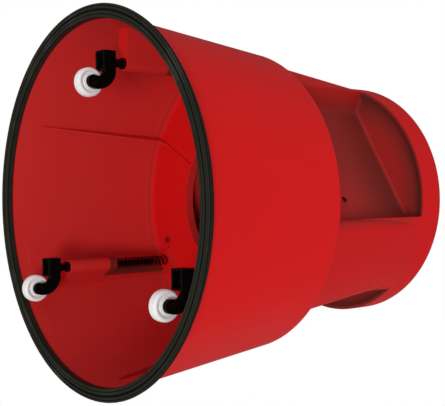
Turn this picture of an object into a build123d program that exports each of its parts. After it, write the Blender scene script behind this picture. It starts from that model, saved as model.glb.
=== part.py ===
"""Rolling step stool, in millimetres: a drum on a rubber ring, a top on three pillars, three sprung casters.

Origin: on the floor, on the stool's axis, as it stands unloaded on its three casters. +Z is up.
The pillars and casters stand at 90, 210 and 330 degrees, the toe recesses at 30, 150 and 270 degrees.
"""
import os
from math import atan2, cos, degrees, radians, sin, sqrt, tan

from build123d import *

# ---- overall sizes -------------------------------------------------------------------------------
LIFT = 10.0                # the ring hangs this high while the springs hold the stool on its wheels
RING_R = 220.0             # outer radius of the rubber ring, the widest place
HEIGHT = LIFT + 438.0      # top edge of the stool
WALL = 3.2                 # moulded wall of the drum
UPPER_WALL = 3.5           # moulded wall of the upper part

PILLAR_ANGLES = (90.0, 210.0, 330.0)
RECESS_ANGLES = (30.0, 150.0, 270.0)

# ---- drum (lower shell) --------------------------------------------------------------------------
DRUM_FOOT_Z = LIFT + 2.5   # bottom edge of the wall, in the ring's groove
DRUM_R0 = 209.4            # outer radius at the ring's bottom plane, z = LIFT
DRUM_TAPER = 0.1139        # radius lost for each millimetre of height
STEP_Z = LIFT + 215.0      # upper side of the step
STEP_THICK = 3.5
SHOULDER_R = 6.0           # rounding outside the step's edge
CORNER_R = 12.0            # rounding inside, between wall and step
THROAT_R = 88.5            # round opening in the middle of the step
COLLAR_WALL = 3.0
COLLAR_DROP = 8.5          # collar below the step's underside
RIB_THICK = 2.6
RIB_PROUD = 3.0
RIB_FOOT_Z = LIFT + 34.0

# ---- caster bosses in the drum -------------------------------------------------------------------
STEM_AT = 160.0            # distance of each caster's stem from the stool's axis
BOSS_R = 8.5               # the boss is a web as wide as this round nose
BOSS_FOOT_Z = LIFT + 51.0
BOSS_BORE_R = 6.02
WINDOW_Z0 = LIFT + 119.0   # window for the spring
WINDOW_Z1 = LIFT + 204.0
WINDOW_BACK = 12.0         # the window is cut to this far behind the stem
FLARE_W = 26.0             # block at the top of the boss

# ---- upper shell ---------------------------------------------------------------------------------
PILLAR_R0 = 177.6          # pillar radius at the step
HEAD_R = 154.6             # the pillars run flush into the head's rim
HEAD_Z = LIFT + 396.0      # lower edge of the head's rim
HEAD_EDGE_R = 11.0         # rounding of the top edge
CEILING_RISE = 5.5         # a toe recess's ceiling is hollowed this far above the rim's edge
CEILING_DISH_R = 26.0      # section radius of the curve from the ceiling down to the rim
RIM_LIP = 4.0              # width of the rim's lower face
BACK_AT = 93.0             # the recess's back wall stands this far from the axis
BACK_HALF = 82.0           # half width of the back wall
FLANK_SPREAD = 31.0        # each flank opens by this many degrees
NICHE_CORNER_R = 12.0      # rounding between back wall and flanks
NICHE_TOP_R = 5.0          # rounding under the ceiling
PILLAR_EDGE_R = 14.0       # rounding of the pillars' outer edges
HOLLOW_CORNER_TURN = 250.0  # the hollow's corners are cut across this direction
HOLLOW_CORNER_CUT = 5.5    # and this far in
PLATE_THICK = 4.0
MAT_SINK = 2.0
MAT_R = 136.0
MAT_THICK = 3.2
VENT_R = 3.6               # small round hole with a rim in the back wall
VENT_RIM_R = 6.2
VENT_AT = (56.0, LIFT + 299.0)
SCREW_AT = (150.0, 26.0)   # along and across a pillar's centre line
SCREW_BOSS_R = 5.5
SCREW_BOSS_TALL = 32.0
SCREW_R = 2.0
SCREW_PILOT_R = 2.02
SCREW_LONG = 22.0
SCREW_HEAD_R = 4.5
SCREW_HEAD = 2.8
HEAD_RIB_DEEP = 18.0

# ---- ring ----------------------------------------------------------------------------------------
RING_TALL = 14.0
RING_INNER_R = 203.0
RING_LIP_TALL = 8.0
RING_GROOVES = (207.0, 213.5, 217.2)

# ---- caster, in its own frame: the stem stands on the local origin -------------------------------
STEM_R = 5.0
STEM_TIP_R = 4.0
SLEEVE_BORE_R = 5.06
SLEEVE_FLANGE_R = 6.6
SLEEVE_FLANGE = 3.0
SLEEVE_TALL = 42.0
SEAT_R = 7.8
SEAT_THICK = 2.0
CLIP_THICK = 1.0
CLIP_R = 4.9
CLIP_BORE_R = 3.3
SPRING_R = 5.95            # radius to the middle of the wire
SPRING_WIRE_R = 0.8
SPRING_TURNS = 13
STEM_TOP_Z = LIFT + 182.0
HOUSING_TOP_Z = LIFT + 35.5
HOUSING_TALL = 16.0
HOUSING_HALF_X = 9.0
HOUSING_FRONT_Y = 12.5
HOUSING_BACK_Y = -10.0
HOUSING_WALL = 2.2
HOUSING_ROOF = 5.0
SOCKET_DEEP = 3.2          # the stem's shoulder sits this deep in the housing, on a thrust washer
WASHER_THICK = 1.0
CAP_R = 6.0
ARM_THICK = 5.2
ARM_HALF_WIDE = 7.3
WHEEL_R = 16.5
WHEEL_TRAIL = 24.0
WHEEL_X0 = -3.2
WHEEL_WIDE = 13.0
AXLE_R = 3.0
AXLE_HEAD_R = 5.5
AXLE_HEAD = 1.8
RUN_GAP = 0.06

WHEEL_Z = WHEEL_R          # the wheels stand on the floor


def turned(points):
    """Solid of revolution about Z from a closed outline of (radius, height) points."""
    return revolve(Plane.XZ * make_face(Polyline(*points, close=True)), Axis.Z)


def rod(radius, z0, z1):
    return Pos(0, 0, z0) * Cylinder(radius, z1 - z0, align=(Align.CENTER, Align.CENTER, Align.MIN))


def block(x0, x1, y0, y1, z0, z1):
    return Pos(x0, y0, z0) * Box(x1 - x0, y1 - y0, z1 - z0, align=(Align.MIN, Align.MIN, Align.MIN))


def drum_r(z):
    """Outer radius of the drum at a height."""
    return DRUM_R0 - DRUM_TAPER * (z - LIFT)


def ring_edges(shape, radius, z, slack=0.6):
    """Round edges of a revolved solid at one radius and height."""
    found = []
    for edge in shape.edges().filter_by(GeomType.CIRCLE):
        if abs(edge.radius - radius) < slack and abs(edge.center().Z - z) < slack:
            found.append(edge)
    return found


def drum_wall():
    """Tapered wall, flat step with a round throat, and the throat's collar."""
    under_z = STEP_Z - STEP_THICK
    collar_z = under_z - COLLAR_DROP
    solid = turned([
        (drum_r(DRUM_FOOT_Z), DRUM_FOOT_Z),
        (drum_r(STEP_Z), STEP_Z),
        (THROAT_R, STEP_Z),
        (THROAT_R, collar_z),
        (THROAT_R + COLLAR_WALL, collar_z),
        (THROAT_R + COLLAR_WALL, under_z),
        (drum_r(under_z) - WALL, under_z),
        (drum_r(DRUM_FOOT_Z) - WALL, DRUM_FOOT_Z),
    ])
    solid = fillet(ring_edges(solid, drum_r(STEP_Z), STEP_Z), SHOULDER_R)
    return fillet(ring_edges(solid, drum_r(under_z) - WALL, under_z), CORNER_R)


def drum_core():
    """Everything inside the drum's outer surface: ribs and bosses are trimmed to it."""
    margin = WALL / 2
    return turned([
        (0, DRUM_FOOT_Z),
        (drum_r(DRUM_FOOT_Z) - margin, DRUM_FOOT_Z),
        (drum_r(STEP_Z) - margin - SHOULDER_R, STEP_Z - margin),
        (0, STEP_Z - margin),
    ])


def drum_rib():
    """Shallow rib on the +X side: up the wall, then in under the step to the collar."""
    wall_in = RIB_PROUD + WALL
    under_z = STEP_Z - STEP_THICK - RIB_PROUD
    rise = Polyline(
        (drum_r(RIB_FOOT_Z) - WALL / 2, RIB_FOOT_Z),
        (drum_r(RIB_FOOT_Z) - WALL, RIB_FOOT_Z),
        (drum_r(RIB_FOOT_Z + 6) - wall_in, RIB_FOOT_Z + 6),
        (drum_r(under_z) - wall_in - CORNER_R, under_z - CORNER_R / 2),
        (drum_r(under_z) - wall_in - 2 * CORNER_R, under_z),
        (THROAT_R + COLLAR_WALL / 2, under_z),
        (THROAT_R + COLLAR_WALL / 2, STEP_Z - WALL / 2),
        (drum_r(STEP_Z) - WALL / 2 - SHOULDER_R, STEP_Z - WALL / 2),
        close=True,
    )
    return extrude(Plane.XZ * make_face(rise), RIB_THICK / 2, both=True)


def caster_boss():
    """Web on the +X side that guides the stem, with the spring's window cut in its nose."""
    top_z = STEP_Z - STEP_THICK / 2
    reach = drum_r(BOSS_FOOT_Z)
    web = rod(BOSS_R, BOSS_FOOT_Z, top_z) + block(0, reach - STEM_AT, -BOSS_R, BOSS_R, BOSS_FOOT_Z, top_z)
    web += block(-BOSS_R - 1.5, WINDOW_BACK, -FLARE_W / 2, FLARE_W / 2, WINDOW_Z1, top_z)
    web -= block(-2 * BOSS_R, WINDOW_BACK, -BOSS_R - 1, BOSS_R + 1, WINDOW_Z0, WINDOW_Z1)
    web -= rod(BOSS_BORE_R, BOSS_FOOT_Z, WINDOW_Z0)
    return Pos(STEM_AT, 0, 0) * web


def screw_spots():
    """Centres of the six screws that hold the upper shell, as (x, y)."""
    along, across = SCREW_AT
    spots = []
    for angle in PILLAR_ANGLES:
        for side in (-across, across):
            centre = Rot(0, 0, angle) * Pos(along, side, 0)
            spots.append((centre.position.X, centre.position.Y))
    return spots


def lower_shell():
    core = drum_core()
    shell = drum_wall()
    for angle in RECESS_ANGLES:
        shell += Rot(0, 0, angle) * (drum_rib() & core)
    for angle in PILLAR_ANGLES:
        shell += Rot(0, 0, angle) * (caster_boss() & core)
    for x, y in screw_spots():
        shell -= Pos(x, y, 0) * rod(SCREW_R + 0.25, STEP_Z - 2 * STEP_THICK, STEP_Z + 1)
    return shell


def niche(grow=0.0):
    """Toe recess on the +X side as a solid; grown by a wall, it shapes the hollow behind it."""
    back = BACK_AT - grow
    spread = radians(FLANK_SPREAD)
    half = BACK_HALF + grow * (1 - sin(spread)) / cos(spread)
    reach = 110.0
    wide = half + reach * tan(spread)
    ceiling = HEAD_Z + CEILING_RISE + grow
    plan = Polyline((back, -half), (back + reach, -wide), (back + reach, wide), (back, half), close=True)
    foot = STEP_Z - 1.0
    body = Pos(0, 0, foot) * extrude(make_face(plan), ceiling - foot)
    upright = body.edges().filter_by(Axis.Z).filter_by_position(Axis.X, back - 1, back + 1)
    body = fillet(upright, NICHE_CORNER_R + grow)
    tops = []
    for edge in body.edges().filter_by_position(Axis.Z, ceiling - 0.1, ceiling + 0.1):
        if edge.center().X < back + reach - 1:
            tops.append(edge)
    return fillet(tops, NICHE_TOP_R + grow) & dished_ceiling(grow)


def dished_ceiling(grow):
    """Space under the head's rim and its hollowed ceiling; grown by a wall, for the hollow behind."""
    lip_r = HEAD_R - RIM_LIP
    drop = CEILING_RISE
    run = sqrt(CEILING_DISH_R ** 2 - (CEILING_DISH_R - drop) ** 2)
    half_run = sqrt(CEILING_DISH_R ** 2 - (CEILING_DISH_R - drop / 4) ** 2)
    top = HEAD_Z + CEILING_RISE + grow
    lip_z = HEAD_Z + grow
    foot = STEP_Z - 2
    flat = Polyline((lip_r, lip_z), (300, lip_z), (300, foot), (0, foot), (0, top), (lip_r - run, top))
    dish = ThreePointArc((lip_r - run, top), (lip_r - run + half_run, top - drop / 4), (lip_r, lip_z))
    return revolve(Plane.XZ * make_face([flat, dish]), Axis.Z)


def upper_outline(shrink=0.0):
    """Round outside of the upper shell; shrunk by a wall, it is the hollow inside, open below."""
    if shrink:
        plate_z = HEIGHT - MAT_SINK - PLATE_THICK
        return turned([
            (0, STEP_Z - 1),
            (PILLAR_R0 - shrink, STEP_Z - 1),
            (HEAD_R - shrink, HEAD_Z),
            (HEAD_R - shrink, HEIGHT - HEAD_EDGE_R),
            (HEAD_R - HEAD_EDGE_R, plate_z),
            (0, plate_z),
        ])
    solid = turned([
        (0, STEP_Z),
        (PILLAR_R0, STEP_Z),
        (HEAD_R, HEAD_Z),
        (HEAD_R, HEIGHT),
        (0, HEIGHT),
    ])
    return fillet(ring_edges(solid, HEAD_R, HEIGHT), HEAD_EDGE_R)


def pillar_corner(radius, shrink):
    """Where a flank meets a circle, for a pillar on the +X side, as (x, y) on the +Y side."""
    slope = tan(radians(60 - FLANK_SPREAD))
    turn = radians(60) - atan2(BACK_HALF, BACK_AT)
    root = sqrt(BACK_AT ** 2 + BACK_HALF ** 2)
    start = root * sin(turn) - slope * root * cos(turn) - shrink * sqrt(1 + slope ** 2)
    x = (sqrt(radius ** 2 * (1 + slope ** 2) - start ** 2) - slope * start) / (1 + slope ** 2)
    return x, slope * x + start


def hollow_corner_beam(side):
    """Long block that takes the sharp outer corner off the hollow of a pillar on the +X side."""
    low = pillar_corner(PILLAR_R0 - UPPER_WALL, UPPER_WALL)
    high = pillar_corner(HEAD_R - UPPER_WALL, UPPER_WALL)
    foot = Vector(low[0], side * low[1], STEP_Z)
    head = Vector(high[0], side * high[1], HEAD_Z)
    inward = radians(HOLLOW_CORNER_TURN)
    facing = Vector(cos(inward), side * sin(inward), 0)
    spot = Plane(origin=(foot + head) * 0.5, x_dir=facing, z_dir=head - foot)
    return spot * Box(2 * HOLLOW_CORNER_CUT, 40, 2 * (HEAD_Z - STEP_Z))


def rounded_outside():
    """Outside with its three recesses cut and its pillars' outer edges rounded."""
    body = upper_outline()
    for angle in RECESS_ANGLES:
        body -= Rot(0, 0, angle) * niche()
    tall = []
    for edge in body.edges():
        low, high = edge.position_at(0), edge.position_at(1)
        nearest = min(sqrt(low.X ** 2 + low.Y ** 2), sqrt(high.X ** 2 + high.Y ** 2))
        if abs(low.Z - high.Z) > 60 and nearest > HEAD_R - 5:
            tall.append(edge)
    return fillet(tall, PILLAR_EDGE_R)


def hollow_inside():
    """Hollow of the upper shell, open below: the outline less a wall, behind the recesses."""
    body = upper_outline(UPPER_WALL)
    for angle in RECESS_ANGLES:
        body -= Rot(0, 0, angle) * niche(UPPER_WALL)
    for angle in PILLAR_ANGLES:
        for side in (-1, 1):
            body -= Rot(0, 0, angle) * hollow_corner_beam(side)
    return body


def upper_shell():
    shell = rounded_outside() - hollow_inside()
    for angle in PILLAR_ANGLES:
        for side in (-1, 1):
            shell += Rot(0, 0, angle) * screw_post(side)
    for angle in RECESS_ANGLES:
        shell += Rot(0, 0, angle) * vent_rim()
        shell -= Rot(0, 0, angle) * vent_hole()
        shell += Rot(0, 0, angle) * head_rib()
    return shell - rod(MAT_R + 0.3, HEIGHT - MAT_SINK, HEIGHT + 1)


def screw_post(side):
    """Screw boss in a pillar on the +X side, with a web out to the pillar's wall."""
    along, across = SCREW_AT
    y = side * across
    top = STEP_Z + SCREW_BOSS_TALL
    reach = PILLAR_R0 - UPPER_WALL / 2 - (PILLAR_R0 - HEAD_R) * SCREW_BOSS_TALL / (HEAD_Z - STEP_Z)
    x1 = sqrt(reach ** 2 - (across + 2) ** 2)
    post = Pos(along, y, 0) * rod(SCREW_BOSS_R, STEP_Z, top)
    post += block(along, x1, y - 1.5, y + 1.5, STEP_Z, top)
    return post - Pos(along, y, 0) * rod(SCREW_PILOT_R, STEP_Z - 1, top - 4)


def vent_rim():
    across, z = VENT_AT
    rim = Cylinder(VENT_RIM_R, 2.4)
    return Pos(BACK_AT, across, z) * Rot(0, 90, 0) * rim


def vent_hole():
    across, z = VENT_AT
    return Pos(BACK_AT, across, z) * Rot(0, 90, 0) * Cylinder(VENT_R, 4 * UPPER_WALL)


def head_rib():
    """Stiffening rib under the top plate, from the hub out over a recess."""
    top = HEIGHT - MAT_SINK - PLATE_THICK + 1
    return block(0, BACK_AT - UPPER_WALL / 2, -1.5, 1.5, top - 1 - HEAD_RIB_DEEP, top)


def base_ring():
    """Rubber ring, U-shaped in section: the drum's wall stands in its groove."""
    gap = 0.05
    skirt_z = LIFT + RING_TALL
    lip_z = LIFT + RING_LIP_TALL
    slot_in = drum_r(DRUM_FOOT_Z) - WALL - gap
    solid = turned([
        (RING_INNER_R, LIFT),
        (RING_R - 1.5, LIFT),
        (RING_R, LIFT + 1.5),
        (RING_R - 0.6, LIFT + 3.5),
        (drum_r(skirt_z) + 1.0, skirt_z),
        (drum_r(skirt_z) + gap, skirt_z),
        (drum_r(DRUM_FOOT_Z) + gap, DRUM_FOOT_Z),
        (slot_in, DRUM_FOOT_Z),
        (drum_r(lip_z) - WALL - gap, lip_z),
        (drum_r(lip_z) - WALL - 0.9, lip_z),
    ])
    for radius in RING_GROOVES:
        solid -= rod(radius + 0.6, LIFT - 1, LIFT + 0.9) - rod(radius - 0.6, LIFT - 1, LIFT + 0.9)
    return solid


def top_mat():
    """Anti-slip disc in the top's shallow seat, with round grooves."""
    z0 = HEIGHT - MAT_SINK
    mat = rod(MAT_R, z0, z0 + MAT_THICK)
    mat = chamfer(mat.edges().group_by(Axis.Z)[-1], 0.8)
    for radius in (30.0, 52.0, 74.0, 96.0, 118.0):
        mat -= rod(radius + 1, z0 + 2.2, z0 + 5) - rod(radius - 1, z0 + 2.2, z0 + 5)
    return mat


def step_pad():
    """Anti-slip pad on the step in front of the recess on the +X side."""
    inner = BACK_AT + 14.0
    outer = drum_r(STEP_Z) - SHOULDER_R - 5.0
    plan = Circle(outer) & (Pos(inner + 100, 0) * Rectangle(200, 2 * BACK_HALF - 14))
    pad = Pos(0, 0, STEP_Z) * extrude(plan, 2.4)
    return chamfer(pad.edges().group_by(Axis.Z)[-1], 0.7)


def shell_screws():
    """Six pan-head screws up through the step into the pillars' bosses."""
    z = STEP_Z - STEP_THICK
    one = rod(SCREW_R, z, z + SCREW_LONG) + rod(SCREW_HEAD_R, z - SCREW_HEAD, z)
    one -= block(-3, 3, -0.5, 0.5, z - SCREW_HEAD - 1, z - SCREW_HEAD + 1.2)
    one -= block(-0.5, 0.5, -3, 3, z - SCREW_HEAD - 1, z - SCREW_HEAD + 1.2)
    return Compound(children=[Pos(x, y, 0) * one for x, y in screw_spots()])


# ---- caster pieces, each on the local origin -----------------------------------------------------
def sleeve():
    """Plastic bush in the boss, with a flange under it, that guides the stem."""
    z = BOSS_FOOT_Z
    bush = rod(SLEEVE_FLANGE_R, z - SLEEVE_FLANGE, z) + rod(BOSS_BORE_R - 0.02, z, z + SLEEVE_TALL)
    return bush - rod(SLEEVE_BORE_R, z - 10, z + SLEEVE_TALL + 1)


def stem():
    """Turned pin: riveted foot, shoulder in the housing, guide in the middle, spring guide above."""
    shoulder = HOUSING_TOP_Z - SOCKET_DEEP + WASHER_THICK
    foot = HOUSING_TOP_Z - HOUSING_ROOF - 3.0
    pin = rod(STEM_R, shoulder, WINDOW_Z0 + RUN_GAP) + rod(STEM_TIP_R, foot, STEM_TOP_Z)
    groove_z = WINDOW_Z0 + SEAT_THICK + RUN_GAP
    groove = rod(STEM_R, groove_z, groove_z + CLIP_THICK) - rod(CLIP_BORE_R, groove_z, groove_z + CLIP_THICK)
    pin -= groove
    return chamfer(pin.edges().group_by(Axis.Z)[-1], 1.2)


def rivet_cap():
    """Pressed cap that keeps the stem's foot in the housing."""
    z = HOUSING_TOP_Z - HOUSING_ROOF
    cap = rod(CAP_R, z - 2.6, z - RUN_GAP)
    return cap - rod(STEM_TIP_R, z - 3.0, z)


def spring_seat():
    z = WINDOW_Z0 + RUN_GAP
    return rod(SEAT_R, z, z + SEAT_THICK) - rod(STEM_TIP_R + 0.05, z - 1, z + SEAT_THICK + 1)


def stem_clip():
    """Open retaining ring in the stem's groove."""
    z = WINDOW_Z0 + SEAT_THICK + RUN_GAP
    ring = rod(CLIP_R, z, z + CLIP_THICK) - rod(CLIP_BORE_R, z - 1, z + 2)
    return ring - block(-1.6, 1.6, 0, 9, z - 1, z + 2)


def caster_spring():
    """Open-coiled compression spring between the seat and the window's roof, ground flat."""
    z0 = WINDOW_Z0 + RUN_GAP + SEAT_THICK
    z1 = WINDOW_Z1
    height = z1 - z0
    helix = Pos(0, 0, z0) * Helix(height / SPRING_TURNS, height, SPRING_R)
    coil = sweep(Plane(helix @ 0, z_dir=helix % 0) * Circle(SPRING_WIRE_R), path=helix, is_frenet=True)
    return coil & rod(SPRING_R + 3, z0, z1)


def thrust_washer():
    """Thin ring under the stem's shoulder, in the housing's socket."""
    z = HOUSING_TOP_Z - SOCKET_DEEP
    return rod(STEM_R, z, z + WASHER_THICK) - rod(STEM_TIP_R + 0.05, z - 1, z + WASHER_THICK + 1)


def arm_profile():
    """Side view of the hooked arm, as (y, z): a straight root, an arc and a round end."""
    root_z = HOUSING_TOP_Z - ARM_HALF_WIDE
    bend_y = HOUSING_BACK_Y + 1.0
    drop = root_z - WHEEL_Z
    reach = bend_y + WHEEL_TRAIL
    bend = (reach ** 2 + drop ** 2) / (2 * drop)
    centre = (bend_y, root_z - bend)
    end_angle = degrees(atan2(WHEEL_Z - centre[1], -reach)) % 360
    wedge = [centre]
    for step in range(9):
        angle = radians(90 + (end_angle - 90) * step / 8)
        wedge.append((centre[0] + 3 * bend * cos(angle), centre[1] + 3 * bend * sin(angle)))
    sector = Circle(bend + ARM_HALF_WIDE) - Circle(bend - ARM_HALF_WIDE)
    hook = (Pos(*centre) * sector) & make_face(Polyline(*wedge, close=True))
    hook += Pos(-WHEEL_TRAIL, WHEEL_Z) * Circle(ARM_HALF_WIDE)
    root = Pos((bend_y + HOUSING_FRONT_Y) / 2, root_z) * Rectangle(HOUSING_FRONT_Y - bend_y, 2 * ARM_HALF_WIDE)
    return hook + root


def housing():
    """Swivel housing, hollow below, with the hooked arm on its -X side."""
    top = HOUSING_TOP_Z
    foot = top - HOUSING_TALL
    box = block(-HOUSING_HALF_X, HOUSING_HALF_X, HOUSING_BACK_Y, HOUSING_FRONT_Y, foot, top)
    box = fillet(box.edges().filter_by(Axis.Z), 1.6)
    arm_x = -HOUSING_HALF_X
    arm = Pos(arm_x, 0, 0) * extrude(Plane.YZ * arm_profile(), ARM_THICK)
    body = box + arm
    wall = HOUSING_WALL
    body -= block(wall - HOUSING_HALF_X, HOUSING_HALF_X - wall, HOUSING_BACK_Y + wall,
                  HOUSING_FRONT_Y - wall, foot - 1, top - HOUSING_ROOF)
    body -= rod(STEM_R + 0.05, top - SOCKET_DEEP, top + 1)
    body -= rod(STEM_TIP_R + 0.05, foot, top)
    body -= axle_line(AXLE_R + 0.01, arm_x - 1, arm_x + ARM_THICK + 1)
    return body


def axle_line(radius, x0, x1):
    """Round bar along X on the wheel's axle line."""
    bar = Cylinder(radius, x1 - x0, align=(Align.CENTER, Align.CENTER, Align.MIN))
    return Pos(x0, -WHEEL_TRAIL, WHEEL_Z) * Rot(0, 90, 0) * bar


def axle_pin():
    """Headed pin: pressed into the arm, with its head on the wheel's far side."""
    far = WHEEL_X0 + WHEEL_WIDE + 0.3
    head = axle_line(AXLE_HEAD_R, far, far + AXLE_HEAD)
    return axle_line(AXLE_R, -HOUSING_HALF_X + 0.6, far) + chamfer(head.edges().group_by(Axis.X)[-1], 0.6)


def wheel():
    """Solid moulded wheel with a crowned tread and a round groove in each face."""
    half = WHEEL_WIDE / 2
    outline = [
        (AXLE_R + RUN_GAP, -half),
        (8.6, -half),
        (9.0, -half + 1.8),
        (11.4, -half + 1.8),
        (11.8, -half + 0.4),
        (13.6, -half + 0.4),
        (WHEEL_R - 0.9, -half + 1.9),
        (WHEEL_R, -half + 4.2),
    ]
    mirrored = [(radius, -x) for radius, x in reversed(outline)]
    disc = revolve(Plane.XZ * make_face(Polyline(*outline, *mirrored, close=True)), Axis.Z)
    middle = WHEEL_X0 + half
    return Pos(middle, -WHEEL_TRAIL, WHEEL_Z) * Rot(0, 90, 0) * disc


def save(shape, name):
    shape.label = name
    export_step(shape, f"parts/{name}.step")


def main():
    os.makedirs("parts", exist_ok=True)
    save(lower_shell(), "lower_shell")
    save(upper_shell(), "upper_shell")
    save(base_ring(), "base_ring")
    save(top_mat(), "top_mat")
    save(shell_screws(), "shell_screws")
    for number, angle in enumerate(RECESS_ANGLES, start=1):
        save(Rot(0, 0, angle) * step_pad(), f"step_pad_{number}")
    pieces = {
        "stem_sleeve": sleeve(),
        "stem": stem(),
        "stem_clip": stem_clip(),
        "spring_seat": spring_seat(),
        "caster_spring": caster_spring(),
        "thrust_washer": thrust_washer(),
        "rivet_cap": rivet_cap(),
        "caster_housing": housing(),
        "axle_pin": axle_pin(),
        "caster_wheel": wheel(),
    }
    for number, angle in enumerate(PILLAR_ANGLES, start=1):
        x = STEM_AT * cos(radians(angle))
        y = STEM_AT * sin(radians(angle))
        for name, piece in pieces.items():
            save(Pos(x, y, 0) * piece, f"{name}_{number}")


main()
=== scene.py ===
"""Rolling step stool: a red moulded drum and top on a rubber ring, with three sprung casters inside.

Metres, +Z up, origin on the floor on the stool's axis. The sections follow the stool as it is put together.
"""
from math import cos, pi, radians, sin, sqrt

import bpy
from mathutils import Matrix, Vector


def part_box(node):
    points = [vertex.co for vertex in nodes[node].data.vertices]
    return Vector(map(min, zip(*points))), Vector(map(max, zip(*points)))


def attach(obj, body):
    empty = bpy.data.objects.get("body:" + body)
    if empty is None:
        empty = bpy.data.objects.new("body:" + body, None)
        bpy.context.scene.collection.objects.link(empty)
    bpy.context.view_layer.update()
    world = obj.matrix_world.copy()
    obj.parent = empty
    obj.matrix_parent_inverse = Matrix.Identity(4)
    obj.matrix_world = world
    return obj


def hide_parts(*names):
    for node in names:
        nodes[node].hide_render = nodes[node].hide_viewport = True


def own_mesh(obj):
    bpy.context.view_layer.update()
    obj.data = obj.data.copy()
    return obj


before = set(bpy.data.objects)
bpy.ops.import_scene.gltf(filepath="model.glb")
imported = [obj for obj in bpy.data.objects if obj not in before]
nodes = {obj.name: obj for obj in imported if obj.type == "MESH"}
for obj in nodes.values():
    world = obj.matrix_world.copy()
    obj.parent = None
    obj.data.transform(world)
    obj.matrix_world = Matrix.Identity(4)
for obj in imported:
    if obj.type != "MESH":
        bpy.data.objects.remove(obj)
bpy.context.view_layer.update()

# ---- camera -----------------------------------------------------------------------------------------
# The stool is looked at from below and from its -X side, with +Y upwards in the picture, so that it
# seems to lie on its side with its open underside towards the viewer.
CAMERA_SPOT = Vector((-0.84163, -0.00263, -0.48190))
CAMERA_RISE = radians(39.19)
CAMERA_ROLL = radians(1.155)
CAMERA_LENS = 69.88

level_right = Vector((-sin(CAMERA_RISE), 0, cos(CAMERA_RISE)))
camera_back = Vector((-cos(CAMERA_RISE), 0, -sin(CAMERA_RISE)))
camera_up = cos(CAMERA_ROLL) * Vector((0, 1, 0)) + sin(CAMERA_ROLL) * level_right
camera_right = camera_up.cross(camera_back)
bpy.ops.object.camera_add()
camera = bpy.context.object
camera.matrix_world = Matrix.Translation(CAMERA_SPOT) @ Matrix(
    (camera_right, camera_up, camera_back)
).transposed().to_4x4()
camera.data.lens = CAMERA_LENS
camera.data.sensor_width = 36.0
camera.data.clip_start = 0.05
bpy.context.scene.camera = camera

# ---- light and floor --------------------------------------------------------------------------------
# A white room with even light, one soft lamp from behind the first camera, and a broad soft lamp
# overhead for the views from above. The floor lets all light through, and shows from above only.
FILL = 0.60
FILL_IN_GLOSS = 0.12
LAMP_TRAVEL = Vector((0.659, 0.174, 0.732))
LAMP_POWER = 1.35
OVERHEAD_TRAVEL = Vector((-0.42, 0.46, -0.78))
OVERHEAD_POWER = 0.9


def add_sun(name, travel, power, spread):
    bpy.ops.object.light_add(type="SUN")
    sun = bpy.context.object
    sun.name = name
    sun.rotation_euler = travel.to_track_quat("-Z", "Y").to_euler()
    sun.data.energy = power
    sun.data.angle = spread
    return sun


lamp = add_sun("lamp", LAMP_TRAVEL, LAMP_POWER, radians(16))
overhead = add_sun("overhead", OVERHEAD_TRAVEL, OVERHEAD_POWER, radians(35))
lamp.visible_glossy = False
overhead.visible_glossy = False


def node(tree, kind, inputs=None, **settings):
    """Adds a shader node; inputs are linked where they are sockets and set where they are values."""
    made = tree.nodes.new("ShaderNode" + kind)
    for name, value in settings.items():
        setattr(made, name, value)
    for name, value in (inputs or {}).items():
        if isinstance(value, bpy.types.NodeSocket):
            tree.links.new(value, made.inputs[name])
        else:
            made.inputs[name].default_value = value
    return made


room = bpy.data.worlds.new("white_room")
room.use_nodes = True
bpy.context.scene.world = room
tree = room.node_tree
tree.nodes.clear()
seen = node(tree, "Background", {"Color": (1, 1, 1, 1), "Strength": 1.0})
even = node(tree, "Background", {"Color": (1, 1, 1, 1), "Strength": FILL})
mirrored = node(tree, "Background", {"Color": (1, 1, 1, 1), "Strength": FILL_IN_GLOSS})
path = node(tree, "LightPath").outputs
lit = node(tree, "MixShader", {0: path["Is Glossy Ray"], 1: even.outputs[0], 2: mirrored.outputs[0]})
both = node(tree, "MixShader", {0: path["Is Camera Ray"], 1: lit.outputs[0], 2: seen.outputs[0]})
tree.links.new(both.outputs[0], node(tree, "OutputWorld").inputs["Surface"])
bpy.context.scene.view_settings.view_transform = "Standard"

bpy.ops.mesh.primitive_circle_add(vertices=96, radius=6.0, fill_type="NGON")
floor = bpy.context.object
floor.name = "floor"
floor.visible_shadow = False
floor.visible_diffuse = False
floor.visible_glossy = False
pale = bpy.data.materials.new("pale_floor")
pale.use_nodes = True
tree = pale.node_tree
matt = tree.nodes["Principled BSDF"]
matt.inputs["Base Color"].default_value = (0.93, 0.93, 0.93, 1)
matt.inputs["Roughness"].default_value = 0.9
matt.inputs["Specular IOR Level"].default_value = 0.0
under = node(tree, "NewGeometry").outputs["Backfacing"]
clear = node(tree, "BsdfTransparent")
one_way = node(tree, "MixShader", {0: under, 1: matt.outputs[0], 2: clear.outputs[0]})
tree.links.new(one_way.outputs[0], tree.nodes["Material Output"].inputs["Surface"])
floor.data.materials.append(pale)

# ---- lower shell ------------------------------------------------------------------------------------
# The drum: one piece of injection-moulded polypropylene, polished outside and matt inside, where the
# mould's core was spark eroded. Its inner walls are painted a darker red as shade, darker still on
# their roundings and near black in the casters' windows. Feet, trolleys and door frames scuff its foot
# and its step's edge.
DRUM_RED = (0.73, 0.0042, 0.0052)
CORE_SHADE_RED = (0.61, 0.0265, 0.0250)
ROUNDING_SHADE_RED = (0.43, 0.0190, 0.0175)
BLOTCH_RED = (0.55, 0.006, 0.008)
SCUFF_RED = (0.80, 0.16, 0.14)
WINDOW_SHADE_RED = (0.075, 0.020, 0.014)
CASTERS = (1, 2, 3)
drum_low, drum_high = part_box("lower_shell")
ring_low, ring_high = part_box("base_ring")
DRUM_FOOT_R = drum_high.x
DRUM_TAPER = 0.1139
DRUM_WALL = 0.0032


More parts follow.
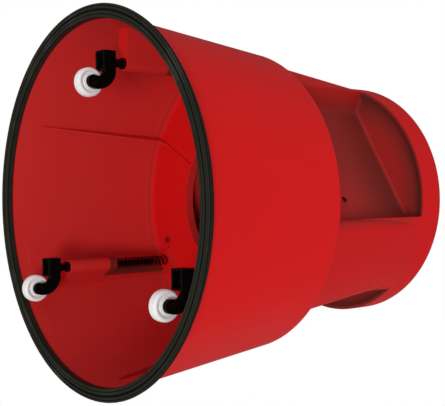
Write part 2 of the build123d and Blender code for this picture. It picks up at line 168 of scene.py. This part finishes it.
def new_group(name, inputs, outputs):
    """Empty shader node group with float inputs, (name, value), and outputs, (name, socket type)."""
    group = bpy.data.node_groups.new(name, "ShaderNodeTree")
    for label, value in inputs:
        socket = group.interface.new_socket(label, in_out="INPUT", socket_type="NodeSocketFloat")
        socket.default_value = value
    for label, kind in outputs:
        group.interface.new_socket(label, in_out="OUTPUT", socket_type="NodeSocket" + kind)
    return group, group.nodes.new("NodeGroupInput").outputs, group.nodes.new("NodeGroupOutput").inputs


def maths(tree, operation, a, b=0.0, clamp=False):
    return node(tree, "Math", {0: a, 1: b}, operation=operation, use_clamp=clamp).outputs[0]


def ramp(tree, value, low, high, bottom=0.0, top=1.0):
    """Smooth step from bottom to top as the value goes from low to high."""
    inputs = {"Value": value, "From Min": low, "From Max": high, "To Min": bottom, "To Max": top}
    return node(tree, "MapRange", inputs, interpolation_type="SMOOTHSTEP").outputs[0]


def noise(tree, place, scale, detail=2.0, stretch=None):
    if stretch:
        place = node(tree, "Mapping", {"Vector": place, "Scale": stretch}).outputs[0]
    return node(tree, "TexNoise", {"Vector": place, "Scale": scale, "Detail": detail}).outputs["Fac"]


def blend(tree, factor, first, second):
    """Mixes two colours, given as sockets or as (r, g, b)."""
    mixed = node(tree, "Mix", {"Factor": factor}, data_type="RGBA")
    for socket, value in zip((mixed.inputs[6], mixed.inputs[7]), (first, second)):
        if isinstance(value, bpy.types.NodeSocket):
            tree.links.new(value, socket)
        else:
            socket.default_value = (*value, 1)
    return mixed.outputs[2]


def build_edge_group():
    """Mask and softened normal along hard edges, where a skin rubs through or catches the light; on the black
    nylon the mask also places a painted highlight.
    """
    group, given, out = new_group(
        "edge_wear_and_glint", [("Patchiness", 0.5)],
        [("Mask", "Float"), ("Normal", "Vector")])
    soft = node(group, "Bevel", {"Radius": 0.0007}, samples=4).outputs[0]
    flat = node(group, "NewGeometry").outputs["Normal"]
    along = node(group, "VectorMath", {0: soft, 1: flat}, operation="DOT_PRODUCT").outputs["Value"]
    bend = ramp(group, along, 0.985, 0.86)
    place = node(group, "TexCoord").outputs["Object"]
    patches = ramp(group, noise(group, place, 90.0, 3.0), 0.35, 0.62)
    missed = maths(group, "MULTIPLY", given[0], maths(group, "SUBTRACT", 1.0, patches))
    kept = maths(group, "SUBTRACT", 1.0, missed)
    group.links.new(maths(group, "MULTIPLY", bend, kept), out["Mask"])
    group.links.new(soft, out["Normal"])
    return group


def build_skin_group():
    """Moulded skin: a fine eroded grain, slow waves in the wall, and blotches in the colour."""
    group, given, out = new_group(
        "moulded_skin", [("Grain", 900.0), ("Waves", 14.0)],
        [("Height", "Float"), ("Blotch", "Float")])
    place = node(group, "TexCoord").outputs["Object"]
    grain = node(group, "TexNoise", {"Vector": place, "Scale": given[0], "Detail": 2.0}).outputs["Fac"]
    waves = node(group, "TexNoise", {"Vector": place, "Scale": given[1], "Detail": 1.0}).outputs["Fac"]
    height = maths(group, "ADD", grain, maths(group, "MULTIPLY", waves, 1.5))
    group.links.new(height, out["Height"])
    group.links.new(waves, out["Blotch"])
    return group


def build_scuff_group():
    """Thin level rub marks in patches, as shoes, trolleys and other stools leave."""
    group, given, out = new_group("scuffs", [("Cover", 0.5)], [("Mask", "Float")])
    place = node(group, "TexCoord").outputs["Object"]
    streaks = noise(group, place, 20.0, 4.0, stretch=(1.0, 1.0, 16.0))
    patches = noise(group, place, 7.0, 2.0)
    thin = ramp(group, streaks, 0.60, 0.72)
    onset = maths(group, "SUBTRACT", 0.72, maths(group, "MULTIPLY", given[0], 0.3))
    spread = ramp(group, patches, onset, 0.75)
    group.links.new(maths(group, "MULTIPLY", thin, spread), out["Mask"])
    return group


EDGE_WEAR_AND_GLINT = build_edge_group()
MOULDED_SKIN = build_skin_group()
SCUFFS = build_scuff_group()


def place_group(tree, group, **values):
    made = tree.nodes.new("ShaderNodeGroup")
    made.node_tree = group
    for name, value in values.items():
        made.inputs[name].default_value = value
    return made.outputs


def new_material(name, roughness, specular, metallic=0.0):
    """Material with its own Principled shader; what is the same all over is set on the shader."""
    material = bpy.data.materials.new(name)
    material.use_nodes = True
    shader = material.node_tree.nodes["Principled BSDF"]
    shader.inputs["Roughness"].default_value = roughness
    shader.inputs["Specular IOR Level"].default_value = specular
    shader.inputs["Metallic"].default_value = metallic
    return material, material.node_tree, shader


def feed(tree, shader, **sockets):
    for name, socket in sockets.items():
        tree.links.new(socket, shader.inputs[name.replace("_", " ")])


def bump(tree, height, strength, distance, normal=None):
    inputs = {"Height": height, "Strength": strength, "Distance": distance}
    if normal:
        inputs["Normal"] = normal
    return node(tree, "Bump", inputs).outputs[0]


def axial(tree):
    """Distance from the stool's axis and height above the floor, as sockets."""
    place = node(tree, "TexCoord").outputs["Object"]
    parts = node(tree, "SeparateXYZ", {0: place}).outputs
    flat = node(tree, "CombineXYZ", {0: parts[0], 1: parts[1]}).outputs[0]
    return node(tree, "VectorMath", {0: flat}, operation="LENGTH").outputs["Value"], parts[2]


def moulded_red(name, outer_red, inside, inner_red, scuff_zone):
    """Red polypropylene. The last three are functions of radius and height: a mask of faces made matt and
    painted in shade, the painted-shade colour, a scuff mask.
    """
    material, tree, shader = new_material(name, 0.42, 0.16)
    radius, height = axial(tree)
    skin = place_group(tree, MOULDED_SKIN, Grain=900.0, Waves=14.0)
    edges = place_group(tree, EDGE_WEAR_AND_GLINT, Patchiness=0.8)
    marks = place_group(tree, SCUFFS, Cover=0.55)
    # The mask makes faces matt and also paints them in the darker colour, as painted shade.
    matt_and_shade = inside(tree, radius, height)
    colour = blend(tree, matt_and_shade, outer_red, inner_red(tree, radius, height))
    shade = ramp(tree, skin["Blotch"], 0.3, 0.7, 0.0, 0.10)
    colour = blend(tree, shade, colour, BLOTCH_RED)
    rubbed = maths(tree, "MULTIPLY", marks["Mask"], scuff_zone(tree, radius, height))
    colour = blend(tree, maths(tree, "MULTIPLY", rubbed, 0.35), colour, SCUFF_RED)
    colour = blend(tree, maths(tree, "MULTIPLY", edges["Mask"], 0.18), colour, SCUFF_RED)
    rough = maths(tree, "ADD", ramp(tree, matt_and_shade, 0.0, 1.0, 0.40, 0.62), maths(tree, "MULTIPLY", rubbed, 0.25))
    relief = bump(tree, skin["Height"], 0.12, 0.0003, edges["Normal"])
    feed(tree, shader, Base_Color=colour, Roughness=rough, Normal=relief)
    return material


def drum_matt_shade_mask(tree, radius, height):
    """Mask of the matt inner wall, which is also painted darker as shade, but not the step's underside, which
    is left as bright as the outside.
    """
    outer = maths(tree, "SUBTRACT", DRUM_FOOT_R + DRUM_TAPER * drum_low.z,
                  maths(tree, "MULTIPLY", height, DRUM_TAPER))
    depth = maths(tree, "SUBTRACT", outer, radius)
    within = ramp(tree, depth, 0.3 * DRUM_WALL, 0.8 * DRUM_WALL)
    facing = node(tree, "SeparateXYZ", {0: node(tree, "NewGeometry").outputs["Normal"]}).outputs[2]
    upright = ramp(tree, maths(tree, "ABSOLUTE", facing), 0.96, 0.55, 0.2, 1.0)
    return maths(tree, "MULTIPLY", within, upright)


def drum_shade_red(tree, radius, height):
    """Red painted darker as shade on the inner wall, darker still on its roundings, and near black as shade
    in the three windows of the casters' webs.
    """
    place = node(tree, "TexCoord").outputs["Object"]
    level = node(tree, "Mapping", {"Vector": place, "Scale": (1, 1, 0)}).outputs[0]
    nearest = 1.0
    for number in CASTERS:
        low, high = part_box(f"stem_{number}")
        away = node(tree, "VectorMath", {0: level, 1: ((low.x + high.x) / 2, (low.y + high.y) / 2, 0)},
                    operation="DISTANCE").outputs["Value"]
        nearest = maths(tree, "MINIMUM", away, nearest)
    # Painted shade: the casters' windows in the webs, and just under them, are painted near black.
    beside = ramp(tree, nearest, 0.023, 0.016)
    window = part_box("caster_spring_1")
    above = ramp(tree, height, window[0].z - 0.014, window[0].z - 0.010)
    below = ramp(tree, height, window[1].z + 0.001, window[1].z - 0.001)
    window_shade = maths(tree, "MULTIPLY", maths(tree, "MULTIPLY", above, below), beside)
    facing = node(tree, "SeparateXYZ", {0: node(tree, "NewGeometry").outputs["Normal"]}).outputs[2]
    rounding_shade = ramp(tree, maths(tree, "ABSOLUTE", facing), 0.2, 0.6)
    wall = blend(tree, rounding_shade, CORE_SHADE_RED, ROUNDING_SHADE_RED)
    return blend(tree, maths(tree, "MULTIPLY", window_shade, 0.85), wall, WINDOW_SHADE_RED)


def drum_scuff_zone(tree, radius, height):
    foot = ramp(tree, height, 0.12, 0.03)
    step_edge = ramp(tree, height, drum_high.z - 0.012, drum_high.z)
    return maths(tree, "ADD", maths(tree, "MULTIPLY", foot, 0.7), step_edge, clamp=True)


def give(material, *names):
    """Puts a material on CAD nodes through their own slots."""
    for name in names:
        owner = nodes[name]
        if not owner.material_slots:
            owner.data.materials.append(material)
        for slot in owner.material_slots:
            slot.material = material


give(moulded_red("drum_red", DRUM_RED, drum_matt_shade_mask, drum_shade_red, drum_scuff_zone), "lower_shell")

# ---- upper shell ------------------------------------------------------------------------------------
# The second moulding of the same red polypropylene: three hollow pillars, three toe recesses and the
# head. It is screwed to the step from below, and shoes rub its recesses and the head's edge. Its
# recesses are matt and painted darker as shade, darkest under the head and out along their ceilings.
TOP_RED = (0.63, 0.0048, 0.0058)
RECESS_SHADE_RED = (0.46, 0.024, 0.021)
RECESS_DEEP_SHADE_RED = (0.16, 0.026, 0.021)
PILLAR_FOOT_R = 0.1776
HEAD_R = 0.1546
RECESS_ANGLES = (30, 150, 270)
VENT_SPOT = (0.0930, 0.056, 0.309)
VENT_SHADE = (0.010, 0.004, 0.004)
head_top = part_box("upper_shell")[1].z
rim_foot = head_top - 0.042


def recess_shade_mask(tree, radius, height):
    """Mask of what lies behind the pillars' and the head's round outside, recesses and hollow: matt, and
    painted darker as shade.
    """
    outer = node(tree, "MapRange", {"Value": height, "From Min": drum_high.z, "From Max": rim_foot,
                                    "To Min": PILLAR_FOOT_R, "To Max": HEAD_R}).outputs[0]
    depth = maths(tree, "SUBTRACT", outer, radius)
    below_rim = ramp(tree, height, rim_foot + 0.0075, rim_foot + 0.006)
    facing = node(tree, "SeparateXYZ", {0: node(tree, "NewGeometry").outputs["Normal"]}).outputs[2]
    ceiling = maths(tree, "MULTIPLY", ramp(tree, facing, -0.25, -0.6), ramp(tree, depth, 0.0002, 0.0012))
    near = ramp(tree, depth, 0.0005, 0.006, 0.0, 0.55)
    flank = maths(tree, "ADD", near, ramp(tree, depth, 0.006, 0.042, 0.0, 0.45), clamp=True)
    return maths(tree, "MULTIPLY", maths(tree, "MAXIMUM", flank, ceiling), below_rim)


def recess_shade_red(tree, radius, height):
    """Matt red, painted darker as shade into the corner under the head and out along the recess's ceiling."""
    facing = node(tree, "SeparateXYZ", {0: node(tree, "NewGeometry").outputs["Normal"]}).outputs[2]
    ceiling = ramp(tree, facing, -0.5, -0.8)
    outward = ramp(tree, radius, 0.105, 0.150, 0.15, 1.0)
    upward = ramp(tree, height, drum_high.z + 0.07, rim_foot, 0.1, 0.9)
    shade_depth = node(tree, "Mix", {0: ceiling, 2: upward, 3: outward}).outputs[0]
    colour = blend(tree, shade_depth, RECESS_SHADE_RED, RECESS_DEEP_SHADE_RED)
    # Each vent hole is painted near black, as the shade inside it.
    place = node(tree, "TexCoord").outputs["Object"]
    nearest = 1.0
    for angle in RECESS_ANGLES:
        vent = Matrix.Rotation(radians(angle), 3, "Z") @ Vector(VENT_SPOT)
        away = node(tree, "VectorMath", {0: place, 1: vent}, operation="DISTANCE").outputs["Value"]
        nearest = maths(tree, "MINIMUM", away, nearest)
    return blend(tree, ramp(tree, nearest, 0.0046, 0.0038), colour, VENT_SHADE)


def upper_scuff_zone(tree, radius, height):
    toes = ramp(tree, height, drum_high.z + 0.09, drum_high.z + 0.01)
    head = ramp(tree, height, head_top - 0.02, head_top - 0.004)
    return maths(tree, "ADD", maths(tree, "MULTIPLY", toes, 0.6), head, clamp=True)


give(moulded_red("top_red", TOP_RED, recess_shade_mask, recess_shade_red, upper_scuff_zone), "upper_shell")

# ---- base ring --------------------------------------------------------------------------------------
# Moulded ring of soft black rubber, pushed over the drum's bottom edge. It grips the floor when
# someone steps up and the casters sink in. Its underside is dusty, and its round grooves are painted
# darker as shade.
RING_STEPS = 192
RING_INWARD = 0.0049
RING_GROOVES = ((0.2082, 0.0006, 0.0009), (0.2128, 0.0014, 0.0020), (0.2172, 0.0006, 0.0009))
RING_PALE = (0.028, 0.027, 0.020)
RING_DARK = (0.021, 0.021, 0.015)
RING_DUST = (0.060, 0.058, 0.048)
GROOVE_SHADE = (0.004, 0.004, 0.003)


def deselect():
    bpy.ops.object.select_all(action="DESELECT")


def close_edit(smooth_angle):
    """Merges, turns faces outwards, leaves edit mode and smooths what is not a hard edge."""
    bpy.ops.mesh.select_all(action="SELECT")
    bpy.ops.mesh.remove_doubles(threshold=0.00001)
    bpy.ops.mesh.normals_make_consistent(inside=False)
    bpy.ops.object.mode_set(mode="OBJECT")
    bpy.ops.object.shade_smooth_by_angle(angle=radians(smooth_angle))


def turned(name, outline, steps, round_off=0.0, centre=(0, 0, 0), smooth_angle=35):
    """Turned piece: a flat outline of (radius, height) is spun about an upright line through a centre."""
    deselect()
    bpy.ops.mesh.primitive_circle_add(vertices=len(outline), radius=0.01)
    piece = bpy.context.object
    piece.name = name
    for vertex, (radius, height) in zip(piece.data.vertices, outline):
        vertex.co = (centre[0] + radius, centre[1], centre[2] + height)
    bpy.ops.object.mode_set(mode="EDIT")
    bpy.ops.mesh.select_all(action="SELECT")
    if round_off:
        bpy.ops.mesh.bevel(affect="VERTICES", offset=round_off, segments=2)
        bpy.ops.mesh.select_all(action="SELECT")
    bpy.ops.mesh.spin(steps=steps, angle=2 * pi, center=centre, axis=(0, 0, 1))
    close_edit(smooth_angle)
    return piece


def ring_outline():
    """U-shaped section with three round grooves under it and three ribs on its skirt."""
    foot, top = ring_low.z, ring_high.z
    widest = ring_high.x
    grip = DRUM_FOOT_R - DRUM_TAPER * (top - drum_low.z)
    inner = DRUM_FOOT_R - RING_INWARD
    points = [(inner, foot + 0.0012), (inner + 0.0008, foot)]
    for groove, half, deep in RING_GROOVES:
        points += [(groove - half, foot), (groove - half / 2, foot + deep),
                   (groove + half / 2, foot + deep), (groove + half, foot)]
    points += [(widest - 0.0010, foot), (widest, foot + 0.0014), (widest - 0.0007, foot + 0.0036)]
    lip = Vector((widest - 0.0007, foot + 0.0036))
    edge = Vector((grip + 0.0012, top - 0.0002))
    for share in (0.25, 0.5, 0.75):
        spot = lip.lerp(edge, share)
        points += [(spot.x - 0.0001, spot.y - 0.0006), (spot.x - 0.0007, spot.y),
                   (spot.x - 0.0001, spot.y + 0.0006)]
    points += [(edge.x, edge.y), (grip, top)]
    points += [(DRUM_FOOT_R, drum_low.z), (DRUM_FOOT_R - DRUM_WALL, drum_low.z)]
    inner_top = foot + 0.008
    inner_wall = DRUM_FOOT_R - DRUM_WALL - DRUM_TAPER * (inner_top - drum_low.z)
    points += [(inner_wall, inner_top), (inner_wall - 0.0010, inner_top - 0.0002)]
    return points


def ring_rubber():
    material, tree, shader = new_material("ring_rubber", 0.62, 0.12)
    radius, height = axial(tree)
    place = node(tree, "TexCoord").outputs["Object"]
    skin = place_group(tree, MOULDED_SKIN, Grain=700.0, Waves=30.0)
    dusty = ramp(tree, noise(tree, place, 26.0, 4.0), 0.48, 0.72)
    under = ramp(tree, height, ring_low.z + 0.0012, ring_low.z)
    bloom = maths(tree, "MULTIPLY", dusty, maths(tree, "ADD", maths(tree, "MULTIPLY", under, 0.35), 0.12))
    colour = blend(tree, skin["Blotch"], RING_DARK, RING_PALE)
    colour = blend(tree, bloom, colour, RING_DUST)
    # The grooves under the ring are painted near black as shade.
    groove_shade = maths(tree, "MULTIPLY", ramp(tree, height, ring_low.z + 0.0003, ring_low.z + 0.0009),
                      ramp(tree, height, ring_low.z + 0.0023, ring_low.z + 0.0021))
    colour = blend(tree, maths(tree, "MULTIPLY", groove_shade, 0.8), colour, GROOVE_SHADE)
    rough = ramp(tree, dusty, 0.0, 1.0, 0.52, 0.75)
    feed(tree, shader, Base_Color=colour, Roughness=rough, Normal=bump(tree, skin["Height"], 0.3, 0.0002))
    return material


def place_piece(piece, material, body, slot, *stands_for):
    """Gives a new piece its material and its body, and hides the CAD nodes that it stands for. The slot is
    not used.
    """
    piece.data.materials.clear()
    piece.data.materials.append(material)
    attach(piece, body)
    if stands_for:
        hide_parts(*stands_for)


ring = turned("rubber_ring", ring_outline(), RING_STEPS, round_off=0.00015)
place_piece(ring, ring_rubber(), "stool", "black_rubber", "base_ring")

# ---- mats -------------------------------------------------------------------------------------------
# Black rubber mats, glued into the head's shallow seat and on to the step in front of each recess.
# Round ribs, moulded in, keep a shoe from slipping; the ribs wear grey and their grooves hold dust.
RIB_PITCH = 0.0052
RIB_HIGH = 0.0011
mat_low, mat_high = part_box("top_mat")
pad_low, pad_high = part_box("step_pad_3")
PAD_HALF = pad_high.x
PAD_EDGE = -pad_high.y
PAD_OUTER = -pad_low.y


def ribbed_outline(inner, outer, foot, top):
    """Section of a ribbed mat between two radii, from the outer foot round to the inner foot."""
    valley = top - RIB_HIGH
    points = [(inner, foot), (outer, foot), (outer, valley - 0.0002), (outer - 0.0012, top - 0.0002)]
    spot = outer - 0.0038
    points.append((spot + 0.0002, top))
    while spot > inner + RIB_PITCH:
        points += [(spot - 0.0003, valley), (spot - 0.0013, valley)]
        points += [(spot - 0.0019, top), (spot - RIB_PITCH, top)]
        spot -= RIB_PITCH
    points += [(inner, top)]
    return points


def tread_rubber():
    material, tree, shader = new_material("tread_rubber", 0.7, 0.3)
    radius, height = axial(tree)
    place = node(tree, "TexCoord").outputs["Object"]
    skin = place_group(tree, MOULDED_SKIN, Grain=600.0, Waves=22.0)
    valley_top = ramp(tree, height, mat_high.z - RIB_HIGH, mat_high.z - 0.0004)
    pad_top = ramp(tree, height, pad_high.z - RIB_HIGH, pad_high.z - 0.0004)
    on_step = ramp(tree, height, pad_high.z + 0.002, pad_high.z + 0.001)
    crest = maths(tree, "MAXIMUM", valley_top, maths(tree, "MULTIPLY", pad_top, on_step))
    walked = ramp(tree, noise(tree, place, 12.0, 4.0), 0.42, 0.66)
    colour = blend(tree, skin["Blotch"], (0.020, 0.020, 0.020), (0.030, 0.030, 0.029))
    dust = maths(tree, "MULTIPLY", maths(tree, "SUBTRACT", 1.0, crest), 0.45)
    colour = blend(tree, maths(tree, "MULTIPLY", dust, walked), colour, (0.115, 0.105, 0.092))
    worn = maths(tree, "MULTIPLY", maths(tree, "MULTIPLY", crest, walked), 0.4)
    colour = blend(tree, worn, colour, (0.062, 0.062, 0.062))
    rough = ramp(tree, worn, 0.0, 0.4, 0.72, 0.5)
    feed(tree, shader, Base_Color=colour, Roughness=rough, Normal=bump(tree, skin["Height"], 0.35, 0.0002))
    return material


TREAD_RUBBER = tread_rubber()
mat_outline = ribbed_outline(0.0009, mat_high.x, mat_low.z, mat_high.z)
top_mat = turned("ribbed_top_mat", mat_outline, 160, smooth_angle=30)
place_piece(top_mat, TREAD_RUBBER, "stool", "tread_rubber", "top_mat")


def trimmed(point, normal):
    """Cuts away what lies beyond a plane and closes the cut."""
    bpy.ops.mesh.select_all(action="SELECT")
    bpy.ops.mesh.bisect(plane_co=point, plane_no=normal, use_fill=True, clear_outer=True)


def step_pad():
    """Pad on the -Y side: a ribbed annulus cut straight at its back and at both ends."""
    outline = ribbed_outline(0.080, PAD_OUTER, pad_low.z, pad_high.z)
    piece = turned("ribbed_pad", outline, 180, smooth_angle=30)
    bpy.ops.object.mode_set(mode="EDIT")
    trimmed((0, -PAD_EDGE, 0), (0, 1, 0))
    trimmed((PAD_HALF, 0, 0), (1, 0, 0))
    trimmed((-PAD_HALF, 0, 0), (-1, 0, 0))
    close_edit(30)
    return piece


def turned_copy(piece, name, angle):
    """Copy with its own mesh, turned about the stool's axis."""
    deselect()
    copy = piece.copy()
    copy.data = piece.data.copy()
    copy.name = name
    bpy.context.collection.objects.link(copy)
    copy.select_set(True)
    bpy.context.view_layer.objects.active = copy
    copy.rotation_euler.z = angle
    bpy.ops.object.transform_apply(location=False, rotation=True, scale=False)
    return copy


first_pad = step_pad()
for number, turn in ((1, 120), (2, 240)):
    pad = turned_copy(first_pad, f"ribbed_step_pad_{number}", radians(turn))
    place_piece(pad, TREAD_RUBBER, "stool", "tread_rubber", f"step_pad_{number}")
first_pad.name = "ribbed_step_pad_3"
place_piece(first_pad, TREAD_RUBBER, "stool", "tread_rubber", "step_pad_3")

# ---- screws and other steel -------------------------------------------------------------------------
# Zinc-plated screws, stems, axle pins, washers and clips, turned or pressed. Zinc is a dull blue-grey
# with fine turning marks, and darkens in patches. The springs are blackened wire.


def plated_steel(name, light, shade_depth, rough):
    material, tree, shader = new_material(name, rough, 0.5, metallic=1.0)
    place = node(tree, "TexCoord").outputs["Object"]
    patches = noise(tree, place, 160.0, 4.0)
    turning = noise(tree, place, 300.0, 2.0, stretch=(1.0, 1.0, 12.0))
    colour = blend(tree, ramp(tree, patches, 0.35, 0.7), light, shade_depth)
    feed(tree, shader, Base_Color=colour, Roughness=ramp(tree, turning, 0.3, 0.7, rough - 0.08, rough + 0.12),
         Normal=bump(tree, turning, 0.25, 0.0001))
    return material


ZINC = plated_steel("zinc_plate", (0.56, 0.57, 0.58), (0.36, 0.36, 0.36), 0.38)
BLACK_WIRE = plated_steel("blackened_wire", (0.07, 0.07, 0.075), (0.03, 0.028, 0.027), 0.42)
DARK_PIN = plated_steel("dark_pin", (0.040, 0.040, 0.042), (0.016, 0.016, 0.016), 0.45)
give(ZINC, "shell_screws")

# ---- casters ----------------------------------------------------------------------------------------
# Each caster has a black glass-filled nylon housing on a dark steel stem, with a hooked arm beside a
# solid white nylon wheel. The stem slides up a nylon bush in the drum and squeezes a coil spring.


def black_nylon():
    material, tree, shader = new_material("black_nylon", 0.38, 0.05)
    skin = place_group(tree, MOULDED_SKIN, Grain=1500.0, Waves=60.0)
    edges = place_group(tree, EDGE_WEAR_AND_GLINT, Patchiness=0.6)
    colour = blend(tree, skin["Blotch"], (0.0012, 0.0013, 0.0012), (0.0030, 0.0032, 0.0030))
    # Grey along hard edges: partly worn edges, partly a painted highlight.
    colour = blend(tree, maths(tree, "MULTIPLY", edges["Mask"], 0.35), colour, (0.10, 0.10, 0.10))
    rough = ramp(tree, skin["Blotch"], 0.3, 0.7, 0.34, 0.48)
    relief = bump(tree, skin["Height"], 0.2, 0.00015, edges["Normal"])
    feed(tree, shader, Base_Color=colour, Roughness=rough, Normal=relief)
    return material


BLACK_NYLON = black_nylon()
WHEEL_STEPS = 72
wheel_low, wheel_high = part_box("caster_wheel_1")
WHEEL_R = (wheel_high.z - wheel_low.z) / 2
WHEEL_HALF = (wheel_high.x - wheel_low.x) / 2


def wheel_outline():
    """Half section of the wheel as (radius, height from its middle), bore to bore, with a crowned tread."""
    half = WHEEL_HALF
    side = [
        (0.00306, -half), (0.0062, -half), (0.0066, -half + 0.0009), (0.0088, -half + 0.0009),
        (0.0091, -half + 0.0026), (0.0112, -half + 0.0026),
        (0.0118, -half + 0.0006), (0.0134, -half + 0.0004),
    ]
    crown = []
    for share in range(7):
        angle = radians(-78 + 66 * share / 6)
        crown.append((WHEEL_R - 0.0035 + 0.0035 * cos(angle), -half + 0.0040 + 0.0038 * sin(angle)))
    crown.append((WHEEL_R, -0.0003))
    lower = side + crown
    return lower + [(radius, -height) for radius, height in reversed(lower)]


def white_nylon():
    """White nylon with a grey, scratched tread; the mesh's own attribute says where the tread is."""
    material, tree, shader = new_material("white_nylon", 0.42, 0.35)
    place = node(tree, "TexCoord").outputs["Object"]
    skin = place_group(tree, MOULDED_SKIN, Grain=1200.0, Waves=50.0)
    tread = node(tree, "Attribute", attribute_name="tread").outputs["Fac"]
    grime = ramp(tree, noise(tree, place, 240.0, 5.0), 0.45, 0.75)
    colour = blend(tree, skin["Blotch"], (0.95, 0.95, 0.945), (0.91, 0.91, 0.90))
    rolled = maths(tree, "MULTIPLY", tread, maths(tree, "ADD", maths(tree, "MULTIPLY", grime, 0.16), 0.02))
    colour = blend(tree, rolled, colour, (0.42, 0.40, 0.37))
    colour = blend(tree, maths(tree, "MULTIPLY", grime, 0.10), colour, (0.60, 0.58, 0.55))
    rough = ramp(tree, rolled, 0.0, 0.3, 0.38, 0.6)
    feed(tree, shader, Base_Color=colour, Roughness=rough, Normal=bump(tree, skin["Height"], 0.15, 0.00012))
    return material


WHITE_NYLON = white_nylon()


def caster_wheel(number):
    """Wheel turned about its own upright axis at the origin, then laid on its axle line."""
    low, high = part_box(f"caster_wheel_{number}")
    piece = turned(f"white_wheel_{number}", wheel_outline(), WHEEL_STEPS, round_off=0.0002)
    tread = piece.data.attributes.new("tread", "FLOAT", "POINT")
    for vertex, mark in zip(piece.data.vertices, tread.data):
        reach = sqrt(vertex.co.x ** 2 + vertex.co.y ** 2)
        mark.value = min(1.0, max(0.0, (reach - WHEEL_R + 0.0016) / 0.0012))
    piece.rotation_euler.y = radians(90)
    piece.location = (low + high) / 2
    bpy.ops.object.transform_apply(location=True, rotation=True, scale=False)
    return piece


SPRING_R = 0.00595
WIRE_R = 0.0008
SPRING_TURNS = 13


def coil_spring(number):
    """Wire wound up a screw line past both ends of the spring, then ground flat at both."""
    low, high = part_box(f"caster_spring_{number}")
    pitch = (high.z - low.z) / SPRING_TURNS
    deselect()
    bpy.ops.mesh.primitive_circle_add(vertices=10, radius=WIRE_R, location=(SPRING_R, 0, low.z - pitch),
                                      rotation=(radians(90), 0, 0))
    piece = bpy.context.object
    piece.name = f"coil_spring_{number}"
    bpy.ops.object.transform_apply(location=True, rotation=True, scale=False)
    winding = piece.modifiers.new("winding", "SCREW")
    winding.angle = 2 * pi
    winding.screw_offset = pitch
    winding.iterations = SPRING_TURNS + 2
    winding.steps = winding.render_steps = 28
    bpy.ops.object.modifier_apply(modifier=winding.name)
    bpy.ops.object.mode_set(mode="EDIT")
    trimmed((0, 0, low.z), (0, 0, -1))
    trimmed((0, 0, high.z), (0, 0, 1))
    close_edit(50)
    piece.location = ((low.x + high.x) / 2, (low.y + high.y) / 2, 0)
    bpy.ops.object.transform_apply(location=True, rotation=False, scale=False)
    return piece


for number in CASTERS:
    spring = coil_spring(number)
    place_piece(spring, BLACK_WIRE, "stool", "blackened_steel", f"caster_spring_{number}")
    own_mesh(spring)
    wheel = caster_wheel(number)
    place_piece(wheel, WHITE_NYLON, f"wheel_{number}", "white_wheel", f"caster_wheel_{number}")
    give(BLACK_NYLON, f"caster_housing_{number}", f"stem_sleeve_{number}")
    give(DARK_PIN, f"stem_{number}", f"axle_pin_{number}")
    give(ZINC, f"spring_seat_{number}", f"stem_clip_{number}")
    give(ZINC, f"thrust_washer_{number}", f"rivet_cap_{number}")
